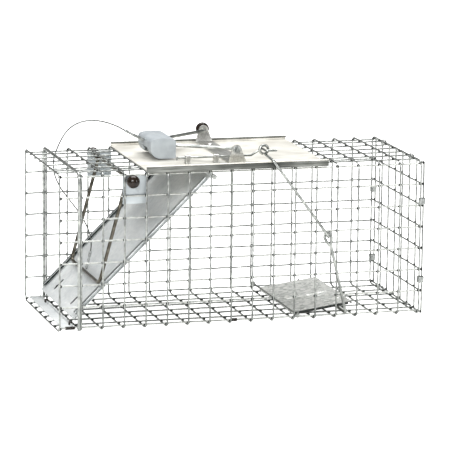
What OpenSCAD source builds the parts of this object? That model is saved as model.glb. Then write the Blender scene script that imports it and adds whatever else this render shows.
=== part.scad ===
// Live catch trap: a one-door wire cage with a sloping gravity door, a lock bail,
// a lifting handle with a set cable, and a treadle that trips the door rod.
// X runs from the entrance (low) to the closed rear end, Z is up, the floor mesh rests on Z = 0.

/* [Cage] */
// Pitch of the welded square mesh
cell = 25.4; // [24:0.1:27]
// Diameter of the mesh wire
wire_d = 2; // [1.6:0.1:2.2]
// Inner bend radius of the ring wires at the cage corners, to the wire axis
corner_r = 7; // [6:0.5:8]

/* [Door] */
// Distance of the door hinge behind the entrance
hinge_back = 181; // [180:0.5:182]
// Height of the door hinge axis
hinge_z = 174.5; // [174:0.1:175]
// Length of the door from its hinge axis to its lower edge
door_len = 229; // [226:1:230]
// Slope of the closed door below horizontal, in degrees
door_slope = 44.5; // [44.5:0.1:46]
// Width of the door
door_w = 167; // [160:1:168]

/* [Lock bail] */
// Distance of the bail pivot behind the entrance
bail_back = 84; // [83:0.5:85]
// Height of the bail pivot axis
bail_z = 173.2; // [173:0.1:173.6]
// Length of the bail from its pivot to its crossbar
bail_len = 126.4; // [124:0.2:126.6]
// Slope of the hanging bail below horizontal, in degrees
bail_slope = 75; // [73:0.5:75]
// Width of the bail between its leg axes
bail_w = 140; // [120:1:146]
// Diameter of the bail and pivot wire
bail_d = 4; // [3:0.2:4]

/* [Top plate and handle] */
// Distance of the top plate's front edge behind the entrance
plate_back = 101; // [99:1:104]
// Length of the top plate
plate_len = 217; // [210:1:220]
// Distance of the handle pivot behind the entrance
pivot_back = 214; // [212:1:216]
// Height of the handle pivot axis
pivot_z = 201; // [200:0.5:203]
// Diameter of the handle wire
handle_d = 4; // [3:0.2:4]
// Length of the moulded grip along X
grip_l = 30; // [26:1:32]
// Width of the moulded grip
grip_w = 60; // [50:1:64]
// Height of the moulded grip
grip_h = 23; // [20:1:24]

/* [Trigger] */
// Distance of the treadle hinge behind the entrance
treadle_back = 283; // [282.5:0.5:284]
// Length of the treadle from its hinge to its free edge
treadle_len = 70; // [66:1:71]
// Slope of the set treadle above horizontal, in degrees
treadle_slope = 7.9; // [7.9:0.1:9]
// Distance of the trigger arm's pivot behind the entrance
arm_back = 341; // [340:0.5:342]

/* [Hidden] */
$fn = 24;
zinc = "#B9BCBA";

// Mesh counts and the planes of its wires
nx = 17;
ny = 7;
nz = 7;
weld_gap = 0.02;
layer = wire_d + weld_gap;
cage_l = nx * cell;
// The clips on the closed end reach this far behind the last ring's axis
clip_reach = 6.2;
front_x = -(cage_l + clip_reach - wire_d / 2) / 2;
half_w = ny * cell / 2;
ring_y = half_w + layer;
low_ring_z = wire_d / 2;
low_long_z = low_ring_z + layer;
top_long_z = low_long_z + nz * cell;
top_ring_z = top_long_z + layer;
outer_y = ring_y + wire_d / 2;
top_z = top_ring_z + wire_d / 2;
// The corner wires lie inside the corner bends
corner_in = corner_r - (corner_r - layer) / sqrt(2);

sheet = 1;
slack = 0.05;
// The sill's lip stands this far behind the entrance
sill_back = 16;
sill_l = 12;
sill_lip = 3.4;
sill_z = low_long_z + wire_d / 2 + 0.1;
hinge_rod_d = 3;
curl_r = 2.6;
hinge_x = at_x(hinge_back);
bail_x = at_x(bail_back);
cap_r = 7.6;
cap_y = outer_y + 6;
// Rods that end outside the mesh stop this far past it
rod_reach = outer_y + 0.3;

plate_z = top_z + 0.1;
plate_t = 1.2;
plate_top = plate_z + plate_t;
plate_near_y = -(outer_y + 1.6);
plate_far_y = 81;
ear_far_y = 76;
ear_near_y = -69;
ear_t = 1.6;
pivot_x = at_x(pivot_back);
grip_x = at_x(122);
grip_z = plate_top + 1.2;
cross_z = 201;
cross_x = at_x(138);
cross_half = 21;
strap_x0 = at_x(204);
strap_l = 22;
strap_z = plate_top + weld_gap;

treadle_x = at_x(treadle_back);
treadle_z = 6.76;
treadle_rod_d = 2.5;
treadle_y0 = -82;
treadle_y1 = 60;
arm_x = at_x(arm_back);
arm_z = 7.4;
arm_d = 3;
arm_y = -94.6;
arm_eye = [at_x(318), arm_y, 99];
link_y = -99.2;
link_d = 2.6;
link_eye = [at_x(247), -68, 199.5];
eye_r = 5;
trip_y = -60;
trip_z = 192;
trip_d = 2.6;
// Journals are this much thicker than the swept wire that runs into them
journal = 0.1;

// Cable: centre-line points, X measured back from the entrance, in the plane Y = 0
cable_d = 1.6;
sleeve_d = 3.4;
cable_y = 0;
cable_outer_route = [[98, 216.5], [89, 221.5], [79, 225.5], [70, 228], [61, 229.2], [52, 229], [44, 227.2],
    [37, 224], [31, 219.5], [26, 213.5], [21.5, 206], [17.5, 197], [14.8, 189], [13.5, 183]];
cable_inner_route = [[13.5, 183], [13.5, 176], [15, 167], [18.5, 158], [23.5, 149], [30, 140], [37, 131],
    [43.5, 122], [49.5, 112], [54.5, 102], [57.5, 92], [58.5, 83], [57.8, 75]];

// X of a place measured back from the entrance ring
function at_x(back) = front_x + back;
function unit(v) = v / norm(v);

// Rounds one corner of a wire: n + 1 points along an arc of radius r at b, between a and c
function corner(a, b, c, r, n) =
    let (u = unit(a - b), v = unit(c - b), half = acos(u * v) / 2, t = r / tan(half))
    let (o = b + unit(u + v) * r / sin(half), s0 = b + u * t - o, s1 = b + v * t - o, w = 180 - 2 * half)
    [for (i = [0:n]) o + (sin((1 - i / n) * w) * s0 + sin(i / n * w) * s1) / sin(w)];

// A bent wire's centre line: its corner points with every corner rounded
function bent(p, r, n = 5) =
    [p[0], for (i = [1:len(p) - 2]) each corner(p[i - 1], p[i], p[i + 1], r, n), p[len(p) - 1]];

// A round eye in the XZ plane that closes on itself, from angle a0 round to a1
function eye(c, r, a0, a1, n = 12) =
    [for (i = [0:n]) let (a = a0 + (a1 - a0) * i / n) c + r * [cos(a), 0, sin(a)]];

// Cable route points in 3-D
function route(p) = [for (q = p) [at_x(q[0]), cable_y, q[1]]];

// Point on a line at a slope below horizontal, towards the entrance
function down_slope(origin, len, slope) = origin + len * [-cos(slope), 0, -sin(slope)];

// Wire of diameter d swept along a path; up is the normal of the plane that the wire is bent in
module wire(path, d, up, sides = 10) {
    n = len(path);
    rings = [for (i = [0:n - 1])
        let (t = unit(path[min(i + 1, n - 1)] - path[max(i - 1, 0)]), s = unit(cross(up, t)), b = cross(t, s))
        for (k = [0:sides - 1]) path[i] + d / 2 * (cos(360 * k / sides) * s + sin(360 * k / sides) * b)];
    walls = [for (i = [0:n - 2], k = [0:sides - 1])
        let (a = i * sides + k, b = i * sides + (k + 1) % sides)
        each [[a, b + sides, b], [a, a + sides, b + sides]]];
    start = [for (k = [0:sides - 1]) k];
    finish = [for (k = [sides - 1:-1:0]) (n - 1) * sides + k];
    polyhedron(points = rings, faces = concat(walls, [start, finish]));
}

module along_x(l, d) { rotate([0, 90, 0]) cylinder(d = d, h = l); }
module along_y(l, d) { rotate([-90, 0, 0]) cylinder(d = d, h = l); }

// A round head or nut on a rod along Y, with its inner face at y
module head_y(x, y, z, r, t) {
    translate([x, y > 0 ? y : y - t, z]) rotate([-90, 0, 0]) cylinder(r = r, h = t);
}

// ---- Cage ----

module ring_wires_y(z) {
    for (i = [0:nx]) translate([at_x(i * cell), -(ring_y - corner_r), z])
        along_y(2 * (ring_y - corner_r), wire_d);
}
module long_wire(y, z) { translate([front_x - wire_d / 2, y, z]) along_x(cage_l + wire_d, wire_d); }

module floor_panel() {
    color(zinc) {
        ring_wires_y(low_ring_z);
        for (j = [1:ny - 1]) long_wire(-half_w + j * cell, low_long_z);
    }
}

module top_panel() {
    color(zinc) {
        ring_wires_y(top_ring_z);
        for (j = [1:ny - 1]) long_wire(-half_w + j * cell, top_long_z);
    }
}

// A side wall: its ring wires are outside, its long wires inside
module side_panel(side) {
    for (i = [0:nx]) translate([at_x(i * cell), side * ring_y, low_ring_z + corner_r])
        cylinder(d = wire_d, h = top_ring_z - low_ring_z - 2 * corner_r);
    for (k = [1:nz - 1]) long_wire(side * half_w, low_long_z + k * cell);
    for (z = [low_ring_z + corner_in, top_ring_z - corner_in]) long_wire(side * (ring_y - corner_in), z);
}
module near_side_panel() { color(zinc) side_panel(-1); }
module far_side_panel() { color(zinc) side_panel(1); }

// The closed end: its cross wires lie against the last ring, its uprights behind them
module rear_panel() {
    color(zinc) {
        for (k = [0:nz]) translate([at_x(cage_l) + layer, -half_w - wire_d / 2, low_long_z + k * cell])
            along_y(2 * half_w + wire_d, wire_d);
        for (j = [0:ny]) translate([at_x(cage_l) + 2 * layer, -half_w + j * cell, low_long_z - wire_d / 2])
            cylinder(d = wire_d, h = top_long_z - low_long_z + wire_d);
    }
}

module corner_bends() {
    color(zinc)
        for (i = [0:nx], q = [0:3]) let (y = (q == 0 || q == 3) ? 1 : -1, z = q < 2 ? 1 : -1)
            translate([at_x(i * cell), y * (ring_y - corner_r),
                    z > 0 ? top_ring_z - corner_r : low_ring_z + corner_r])
                rotate([90, 0, 90]) rotate(90 * q)
                    rotate_extrude(angle = 90) translate([corner_r, 0]) circle(d = wire_d);
}

// A crimped ring of strip steel round two wires
module clip(r, w) {
    strip_t = 0.8;
    difference() {
        cylinder(r = r + strip_t, h = w, center = true);
        cylinder(r = r, h = w + 1, center = true);
    }
}

module joining_clips() {
    near_levels = [42, 135.2];
    far_levels = [33, 118];
    upright_r = 3.35;
    cross_r = 2.5;
    seam_r = 1.1;
    clip_w = 5;
    grasp = 1.4;
    end_x = at_x(cage_l);
    color("#8E9190") {
        for (s = [-1, 1], z = s < 0 ? near_levels : far_levels)
            translate([end_x + layer, s * (half_w + layer / 2), z]) clip(upright_r, clip_w + 2);
        for (y = [-51, 51]) translate([end_x + layer / 2, y, top_ring_z - layer / 2])
            rotate([90, 0, 0]) clip(cross_r, clip_w);
        // The lower ones are pressed flat where the cage stands on them
        for (y = [-51, 51]) intersection() {
            translate([end_x + layer / 2, y, low_ring_z + layer / 2])
                rotate([90, 0, 0]) clip(cross_r, clip_w);
            translate([end_x - 10, y - 10, 0.05]) cube(20);
        }
        for (seam = [[13, clip_w + 6], [208, clip_w + 1]])
            translate([at_x(seam[0]), -(ring_y - corner_in), low_ring_z + corner_in])
                rotate([0, 90, 0]) clip(seam_r, seam[1]);
        // Two more straddle the lip of the sill
        for (y = [-73, 52]) translate([at_x(sill_back) - grasp, y, sill_z + sheet + weld_gap]) difference() {
            translate([0, -clip_w / 2, 0]) cube([sheet + 2 * grasp, clip_w, sill_lip + 0.4]);
            translate([grasp - weld_gap, -clip_w, -1])
                cube([sheet + 2 * weld_gap, 2 * clip_w, sill_lip - sheet + 1]);
        }
    }
}

// Stiffening frame of thicker wire round the entrance, welded over the long wires
module entrance_frame() {
    frame_d = 3.6;
    foot_z = 2;
    beside = (wire_d + frame_d) / 2 + 0.1;
    frame_y = half_w + beside;
    frame_z = top_long_z + beside;
    frame_x = at_x(cell) - beside;
    corners = [[frame_x, -frame_y, foot_z], [frame_x, -frame_y, frame_z], [frame_x, frame_y, frame_z],
        [frame_x, frame_y, foot_z]];
    color("#A9ADAC") wire(bent(corners, corner_r), frame_d, [1, 0, 0], 12);
}

// Folded strip across the floor; the door's lower edge closes behind its lip
module door_sill() {
    sill_w = door_w + 3;
    color("#B4B7B5") translate([at_x(sill_back), -sill_w / 2, sill_z]) {
        translate([-sill_l, 0, 0]) cube([sill_l + sheet, sill_w, sheet]);
        cube([sheet, sill_w, sill_lip]);
    }
}

// ---- Bail and its side plates ----

// Plate inside a side wall, below the corner wire, that the pivot rod turns in
module pivot_plate(side) {
    plate_y = half_w - wire_d / 2 - sheet - 0.2;
    low_z = 146;
    high_z = top_ring_z - corner_in - wire_d / 2 - 0.15;
    difference() {
        translate([at_x(74.5), side > 0 ? plate_y : -plate_y - sheet, low_z])
            cube([29, sheet, high_z - low_z]);
        translate([bail_x, side * plate_y - 3, bail_z]) along_y(6, bail_d + 2 * slack);
    }
}
module near_pivot_plate() { color("#C3C6C4") pivot_plate(-1); }
module far_pivot_plate() { color("#C3C6C4") pivot_plate(1); }

module bail_pivot_rod() {
    color("#6E6B62") translate([bail_x, -cap_y, bail_z]) along_y(2 * cap_y, bail_d);
}

module lock_bail() {
    foot = down_slope([bail_x, 0, bail_z], bail_len, bail_slope);
    head = down_slope([bail_x, 0, bail_z], bail_d + slack, bail_slope);
    half = [0, bail_w / 2, 0];
    corners = [head - half, foot - half, foot + half, head + half];
    up = cross([0, 1, 0], unit(foot - head));
    bend_r = 8;
    eye_w = 4;
    color("#6E6B62") {
        wire(bent(corners, bend_r), bail_d, up, 12);
        for (s = [-1, 1]) difference() {
            translate([bail_x, s * bail_w / 2 - eye_w / 2, bail_z]) along_y(eye_w, bail_d + 4.2);
            translate([bail_x, s * bail_w / 2 - eye_w, bail_z]) along_y(2 * eye_w, bail_d + weld_gap);
        }
    }
}

// Glossy ball pressed on the end of the pivot rod, flat where it faces the wall
module bail_cap(side) {
    flat = cap_y - outer_y - 0.3;
    color("#3A3028") translate([bail_x, side * cap_y, bail_z]) rotate([-90 * side, 0, 0])
        rotate_extrude($fn = 48) difference() {
            circle(r = cap_r);
            translate([-2 * cap_r, -cap_r]) square([2 * cap_r, 2 * cap_r]);
            translate([0, -cap_r - 1]) square([cap_r + 1, cap_r + 1 - flat]);
            translate([0, -cap_r]) square([bail_d / 2 + 0.01, cap_r + 0.01]);
        }
}
module near_bail_cap() { bail_cap(-1); }
module far_bail_cap() { bail_cap(1); }

// ---- Door ----

module door_hinge_rod() {
    color("#A9ADAC") {
        translate([hinge_x, -rod_reach, hinge_z]) along_y(2 * rod_reach, hinge_rod_d);
        for (s = [-1, 1]) head_y(hinge_x, s * rod_reach, hinge_z, hinge_rod_d, 1.6);
    }
}

// Places a shape drawn along +X from the hinge onto the closed door's slope
module on_door() {
    translate([hinge_x, 0, hinge_z]) rotate([0, 180 - door_slope, 0]) mirror([0, 0, 1]) children();
}

module door_panel() {
    lip = 6;
    slot = [18, 5];
    color("#C9CCCA") on_door() difference() {
        union() {
            translate([0, -door_w / 2, -sheet / 2]) cube([door_len, door_w, sheet]);
            translate([0, -door_w / 2, 0]) along_y(door_w, 2 * curl_r);
            translate([door_len - sheet, -door_w / 2, -lip]) cube([sheet, door_w, lip]);
        }
        translate([0, -door_w / 2 - 1, 0]) along_y(door_w + 2, hinge_rod_d + 2 * slack);
        for (y = [-33, 52]) translate([door_len - 28, y - slot[1] / 2, -3]) cube([slot[0], slot[1], 6]);
    }
}

// Long edges of the door folded up and over its outer face, as channels that open inwards
module door_edge_channels() {
    channel_w = 6;
    channel_h = 4;
    fold = 0.8;
    start = 14;
    color("#BFC2C0") on_door() for (s = [-1, 1])
        translate([start, s > 0 ? door_w / 2 - channel_w : -door_w / 2, sheet / 2 + weld_gap]) difference() {
            cube([door_len - start - 6, channel_w, channel_h]);
            translate([-1, s > 0 ? -1 : fold, fold])
                cube([door_len, channel_w - fold + 1, channel_h - 2 * fold]);
        }
}

// ---- Top plate and handle ----

// Guard plate on the roof: both long edges stand up, and the near one also hangs outside the wall
module top_plate() {
    near_drop = 2.4;
    rise = 3.4;
    hem_d = 2.4;
    color("#CFCBC0") translate([at_x(plate_back), 0, 0]) {
        translate([0, plate_near_y, plate_z]) cube([plate_len, plate_far_y - plate_near_y, plate_t]);
        translate([0, plate_near_y, plate_z - near_drop])
            cube([plate_len, sheet, near_drop + plate_t + rise]);
        translate([0, plate_far_y - sheet, plate_z]) cube([plate_len, sheet, plate_t + rise]);
        for (y = [plate_near_y + hem_d / 2, plate_far_y - hem_d / 2])
            translate([0, y, plate_top + rise]) along_x(plate_len, hem_d);
    }
}

// Strap across the plate with an upturned rounded ear at each end
module handle_bracket() {
    ear_r = 5.5;
    ear_top = [5.2, 1.8];
    color("#C4C5C0") {
        translate([strap_x0, ear_near_y, strap_z]) cube([strap_l, ear_far_y - ear_near_y, ear_t]);
        for (y = [ear_near_y, ear_far_y]) translate([0, y + ear_t / 2, 0]) rotate([90, 0, 0])
            linear_extrude(ear_t) difference() {
                union() {
                    translate([pivot_x, pivot_z]) circle(r = ear_r, $fn = 48);
                    polygon([[strap_x0, strap_z], [strap_x0 + strap_l, strap_z],
                        [pivot_x + ear_top[0], pivot_z + ear_top[1]],
                        [pivot_x - ear_top[0], pivot_z + ear_top[1]]]);
                }
                translate([pivot_x, pivot_z]) circle(d = handle_d + 2 * slack);
            }
    }
}

// Domed rivet heads that hold the strap to the plate
module bracket_rivets() {
    dome_r = 4.2;
    sunk = 2;
    inset = 26;
    color("#B9BAB5") for (y = [ear_near_y + inset, ear_far_y - inset])
        translate([strap_x0 + strap_l / 2, y, strap_z + ear_t + weld_gap]) intersection() {
            translate([0, 0, -sunk]) sphere(r = dome_r, $fn = 32);
            translate([-5, -5, 0]) cube(10);
        }
}

// U-shaped handle wire: its legs close in from the bracket ears to the grip
module handle_wire() {
    far_tip_y = ear_far_y + 7;
    near_tip_y = ear_near_y - 6;
    // Each leg turns from its journal towards the grip just inside the ear
    inside = 3;
    turn_x = pivot_x - 5;
    turn_y = 7;
    slant = [12, 3];
    half = [[pivot_x, inside], [turn_x, turn_y]];
    cross_bar = [[cross_x + slant[0], cross_half + slant[1]], [cross_x, cross_half]];
    corners = concat([for (q = half) [q[0], ear_far_y - q[1], pivot_z]],
        [for (q = cross_bar) [q[0], q[1], cross_z]],
        [for (i = [1, 0]) [cross_bar[i][0], -cross_bar[i][1], cross_z]],
        [for (i = [1, 0]) [half[i][0], ear_near_y + half[i][1], pivot_z]]);
    overlap = inside + 0.4;
    color("#A9ADAC") {
        wire(bent(corners, 2.5, 4), handle_d, [0, 0, 1], 12);
        translate([pivot_x, ear_far_y - overlap, pivot_z]) along_y(far_tip_y - ear_far_y + overlap, handle_d);
        translate([pivot_x, near_tip_y, pivot_z]) along_y(ear_near_y + overlap - near_tip_y, handle_d);
    }
}

// Moulded grip: a hollow shell open below, with a finger arch on its front
module grip() {
    wall = 3.5;
    end_wall = 5;
    front_r = 12;
    arch = [10, 26, 12];
    leg_way = 9.5;
    color("#B9BEC1") translate([grip_x, -grip_w / 2, grip_z]) difference() {
        rotate([90, 0, 0]) mirror([0, 0, 1]) linear_extrude(grip_w) hull() {
            translate([front_r, front_r]) circle(r = front_r, $fn = 32);
            translate([5, grip_h - 5]) circle(r = 5, $fn = 32);
            translate([grip_l - 4, grip_h - 4]) circle(r = 4, $fn = 32);
            translate([grip_l - 2, 2]) circle(r = 2, $fn = 32);
        }
        translate([wall, end_wall, -1]) cube([grip_l - 2 * wall, grip_w - 2 * end_wall, grip_h - wall - 0.5]);
        translate([-1, (grip_w - arch[1]) / 2, -1]) cube(arch);
        for (y = [1, grip_w - leg_way - 1]) translate([20, y, -1])
            cube([grip_l - 19, leg_way, cross_z - grip_z + handle_d - 0.6]);
    }
}

// Domed cap pressed on the handle wire outside the far ear
module handle_pivot_cap() {
    outline = [[0, 0], [7.6, 0], [8, 2], [8, 5], [6.5, 7.6], [3.5, 9], [0, 9.4]];
    color("#3A3028") difference() {
        translate([pivot_x, ear_far_y + ear_t / 2 + 0.3, pivot_z]) rotate([-90, 0, 0])
            rotate_extrude($fn = 48) polygon(outline);
        translate([pivot_x, ear_far_y, pivot_z]) along_y(7.01, handle_d + weld_gap);
    }
}

// Spring washer that keeps the handle wire in the near ear
module handle_push_nut() {
    nut_t = 1.2;
    color("#9DA19F") translate([pivot_x, ear_near_y - ear_t / 2 - nut_t - 0.3, pivot_z]) difference() {
        along_y(nut_t, 9);
        translate([0, -1, 0]) along_y(nut_t + 2, handle_d + weld_gap);
    }
}

// ---- Set cable ----

module set_cable_outer() { color("#8C8F8E") wire(route(cable_outer_route), cable_d, [0, 1, 0], 8); }
module set_cable_inner() { color("#8C8F8E") wire(route(cable_inner_route), cable_d, [0, 1, 0], 8); }

// Crimp sleeve between the cable's outer end and the grip
module grip_cable_sleeve() {
    path = route([[98, 216.5], [109, 210.5], [117, 206.5], [121.8, 204.5]]);
    color("#9A9D9C") wire(path, sleeve_d, [0, 1, 0], 12);
}

// Crimped end of the cable: a sleeve and a loop that stands on the bail's crossbar
module bail_cable_sleeve() {
    foot = down_slope([bail_x, 0, bail_z], bail_len - bail_d / 2 - 0.1, bail_slope);
    top = route(cable_inner_route)[len(cable_inner_route) - 1];
    color("#9A9D9C") wire([foot + [0.4, 0, 0.9], foot + [3, 0, 9], top], sleeve_d, [0, 1, 0], 12);
}

// ---- Trigger ----

module treadle_hinge_rod() {
    color("#A9ADAC") {
        translate([treadle_x, -rod_reach, treadle_z]) along_y(2 * rod_reach, treadle_rod_d);
        for (s = [-1, 1]) head_y(treadle_x, s * rod_reach, treadle_z, 2.6, 1.4);
    }
}

// Treadle sheet: curled round its rod, notched at the curl, with a lip at its free edge
module treadle_plate() {
    width = treadle_y1 - treadle_y0;
    tread_t = 0.8;
    curl_d = 4.2;
    lip = 3.6;
    notch_w = 12;
    color("#C6C8C6") translate([treadle_x, treadle_y0, treadle_z]) rotate([0, -treadle_slope, 0])
      difference() {
        union() {
            translate([0, 0, 2 - tread_t]) cube([treadle_len, width, tread_t]);
            along_y(width, curl_d);
            translate([treadle_len - tread_t, 0, 2 - lip]) cube([tread_t, width, lip]);
        }
        translate([0, -1, 0]) along_y(width + 2, treadle_rod_d + 2 * slack);
        translate([-curl_d, width * 0.42, -curl_d]) cube([2 * curl_d, notch_w, 2 * curl_d]);
    }
}

// Cranked rod: across the floor under the treadle, out through the near wall and up to its eye
module trigger_arm() {
    crank_x = arm_x - 14.5;
    crank_z = arm_z + 4.5;
    heel = [arm_x, arm_y, arm_z];
    rise = unit(arm_eye - heel);
    eye_a = atan2(rise[2], rise[0]) + 180;
    far_y = outer_y + 2;
    corners = [arm_eye - rise * eye_r, heel, [arm_x, -55, arm_z], [crank_x, -48, crank_z],
        [crank_x, 40, crank_z], [arm_x, 47, arm_z], [arm_x, far_y - 1, arm_z]];
    color("#B2B5B3") {
        wire(bent(corners, 3, 4), arm_d, [rise[2], 0, -rise[0]], 10);
        wire(eye(arm_eye, eye_r, eye_a + 6, eye_a + 354, 16), arm_d - 0.4, [0, 1, 0], 10);
        // Round journals where it turns in the two side walls
        translate([arm_x, -90, arm_z]) along_y(30, arm_d + journal);
        translate([arm_x, 60, arm_z]) along_y(far_y - 60, arm_d + journal);
    }
}

// Rod outside the near wall that joins the trigger arm to the trip rod
module connecting_rod() {
    low = [arm_eye[0], link_y, arm_eye[2]];
    bend = [at_x(249.5), link_y, 191.3];
    neck = link_eye + [1, 0, -eye_r - 0.3];
    pin_y = arm_y + 2.4;
    path = bent([[low[0], pin_y - 0.5, low[2]], low, bend, neck], 3);
    color("#A4A8A7") {
        wire(path, link_d, unit(cross(bend - low, [0, 1, 0])), 10);
        wire(eye(link_eye, eye_r, -70, 250), link_d, [0, 1, 0], 10);
        // Round pin that turns in the trigger arm's eye
        translate([low[0], pin_y - 3.6, low[2]]) along_y(3.6, link_d + journal);
    }
}

// Sliding rod on the plate: a hook at its front end, and a cranked end through the connecting rod's eye
module trip_rod() {
    high_z = link_eye[2];
    end_y = -77;
    path = [[at_x(143), trip_y - 8, trip_z], [at_x(145), trip_y, trip_z], [at_x(234), trip_y, trip_z],
        [link_eye[0], trip_y, high_z], [link_eye[0], end_y, high_z], [link_eye[0] + 13, end_y, high_z]];
    color("#B2B5B3") wire(bent(path, 3, 4), trip_d, [0.15, 0.1, 1], 10);
}

// Two saddles on the plate that the trip rod slides through
module trip_rod_guides() {
    foot_z = plate_top + weld_gap;
    rise = trip_z - foot_z;
    w = 6;
    color("#C4C5C0") for (back = [158, 192]) translate([at_x(back), trip_y, foot_z]) difference() {
        union() {
            translate([-w / 2, -w, 0]) cube([w, 2 * w, sheet]);
            translate([-w / 2, -w / 2, 0]) cube([w, w, rise]);
            translate([-w / 2, 0, rise]) along_x(w, w);
        }
        translate([-w, 0, rise]) along_x(2 * w, trip_d + 0.4);
    }
}

floor_panel();
top_panel();
near_side_panel();
far_side_panel();
rear_panel();
corner_bends();
joining_clips();
entrance_frame();
door_sill();
near_pivot_plate();
far_pivot_plate();
top_plate();
handle_bracket();
bracket_rivets();
trip_rod_guides();
door_hinge_rod();
door_panel();
door_edge_channels();
bail_pivot_rod();
lock_bail();
near_bail_cap();
far_bail_cap();
handle_wire();
grip();
handle_pivot_cap();
handle_push_nut();
set_cable_outer();
set_cable_inner();
grip_cable_sleeve();
bail_cable_sleeve();
treadle_hinge_rod();
treadle_plate();
trigger_arm();
connecting_rod();
trip_rod();
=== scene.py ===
# %% [markdown]
# # A live catch trap
# The trap is a welded wire cage with a sloping sheet door, a lock bail, a lift handle with a steel cable and
# a treadle that trips the door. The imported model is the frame: every finished piece here is placed by it.

# %% Load the frame
import math
import random

import bmesh
import bpy
from mathutils import Matrix, Vector


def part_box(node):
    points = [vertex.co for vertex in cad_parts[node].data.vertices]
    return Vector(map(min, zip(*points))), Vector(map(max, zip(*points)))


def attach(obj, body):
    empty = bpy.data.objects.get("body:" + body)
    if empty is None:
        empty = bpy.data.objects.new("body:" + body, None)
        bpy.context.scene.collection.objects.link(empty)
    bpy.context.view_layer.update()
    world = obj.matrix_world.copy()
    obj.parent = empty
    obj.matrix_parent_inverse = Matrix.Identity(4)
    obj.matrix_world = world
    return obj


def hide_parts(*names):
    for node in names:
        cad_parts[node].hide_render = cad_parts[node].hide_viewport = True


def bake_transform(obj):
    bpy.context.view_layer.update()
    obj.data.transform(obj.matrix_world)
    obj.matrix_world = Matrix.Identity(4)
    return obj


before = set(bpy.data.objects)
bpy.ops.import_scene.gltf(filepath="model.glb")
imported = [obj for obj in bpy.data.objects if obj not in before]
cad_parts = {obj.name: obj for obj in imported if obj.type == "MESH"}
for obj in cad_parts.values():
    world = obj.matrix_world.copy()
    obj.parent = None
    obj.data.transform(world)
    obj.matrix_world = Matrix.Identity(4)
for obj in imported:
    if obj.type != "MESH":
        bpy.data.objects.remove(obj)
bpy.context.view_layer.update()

# %% [markdown]
# ## The camera
# A long lens from far away keeps the cage's long lines almost parallel. The camera stands in front and to
# the left of the trap, a little above it.

# %% Camera
MM = 0.001
camera_data = bpy.data.cameras.new("camera")
camera_data.lens = 261.85
camera_data.sensor_width = 36.0
camera_data.clip_end = 60.0
camera = bpy.data.objects.new("camera", camera_data)
bpy.context.scene.collection.objects.link(camera)
camera_aim = Vector((2.0, 0.0, 99.0)) * MM
camera_distance = 3858 * MM
camera_azimuth = math.radians(-15.84)
camera_height = math.radians(10.94)
camera_roll = math.radians(0.56)
camera.location = camera_aim + camera_distance * Vector((
    math.sin(camera_azimuth) * math.cos(camera_height),
    -math.cos(camera_azimuth) * math.cos(camera_height),
    math.sin(camera_height),
))
looking = (camera_aim - camera.location).to_track_quat("-Z", "Y").to_matrix()
camera.rotation_euler = (looking @ Matrix.Rotation(camera_roll, 3, "Z")).to_euler()
bpy.context.scene.camera = camera
print("camera at", [round(v, 3) for v in camera.location])

# %% [markdown]
# ## First helpers
# Colours are written as sRGB hex codes, as in a paint program, and Blender wants linear ones. A material is a
# tree of nodes, and one small function that adds a node with its settings and links keeps each tree readable.

# %% Helpers for colours, selection and node trees
def colour(code):
    """Linear RGBA from an sRGB hex code."""
    out = []
    for i in (1, 3, 5):
        c = int(code[i:i + 2], 16) / 255
        out.append(c / 12.92 if c <= 0.04045 else ((c + 0.055) / 1.055) ** 2.4)
    return (*out, 1.0)


def deselect():
    """Leaves edit mode and selects nothing, because an operator acts on all that is selected."""
    if bpy.context.object and bpy.context.object.mode != "OBJECT":
        bpy.ops.object.mode_set(mode="OBJECT")
    bpy.ops.object.select_all(action="DESELECT")


def new_material(name):
    """A material with one Principled shader, its node tree and that shader."""
    made = bpy.data.materials.new(name)
    made.use_nodes = True
    return made, made.node_tree, made.node_tree.nodes["Principled BSDF"]


def add(tree, kind, settings=None, **links):
    """Adds a node, sets its properties or unlinked sockets, and links the named sockets."""
    node = tree.nodes.new(kind)
    for key, value in (settings or {}).items():
        if key in node.inputs:
            node.inputs[key].default_value = value
        else:
            setattr(node, key, value)
    for key, source in links.items():
        tree.links.new(source, node.inputs[key.replace("_", " ")])
    return node


def seen_or_lit(tree, seen, lit):
    """One strength for what the camera sees of the studio, and another for the light that it gives."""
    paths = add(tree, "ShaderNodeLightPath")
    return add(tree, "ShaderNodeMapRange", {"To Min": lit, "To Max": seen},
               Value=paths.outputs["Is Camera Ray"]).outputs["Result"]


print("white is", colour("#FFFFFF"), "and middle grey is", [round(c, 3) for c in colour("#808080")])

# %% [markdown]
# ## The studio
# Bare zinc shows what is round it, so the room matters as much as the lamps. The paper and the sky are far
# brighter to the camera than to the trap: that keeps a clean white ground without washing the wires out. The
# trap itself sees a dim room with three large soft lamps, so each wire gets a light stripe and dark edges.

# %% Studio paper, sky and lamps
paper_seen, paper_lit = 1.0, 0.12
sky_seen, sky_lit = 1.05, 0.27
paper_size = 12.0
paper_place = (0, 3.0, -0.6 * MM)
backdrop, backdrop_tree, backdrop_shader = new_material("studio paper, lit white")
backdrop_shader.inputs["Base Color"].default_value = colour("#F4F4F2")
backdrop_shader.inputs["Roughness"].default_value = 0.9
backdrop_shader.inputs["Specular IOR Level"].default_value = 0.0
backdrop_shader.inputs["Emission Color"].default_value = colour("#FFFFFF")
backdrop_tree.links.new(seen_or_lit(backdrop_tree, paper_seen, paper_lit),
                        backdrop_shader.inputs["Emission Strength"])
deselect()
bpy.ops.mesh.primitive_plane_add(size=paper_size, location=paper_place)
floor_sheet = bpy.context.object
floor_sheet.name = "studio_floor"
floor_sheet.data.materials.append(backdrop)

sky = bpy.data.worlds.new("studio sky")
bpy.context.scene.world = sky
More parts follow.
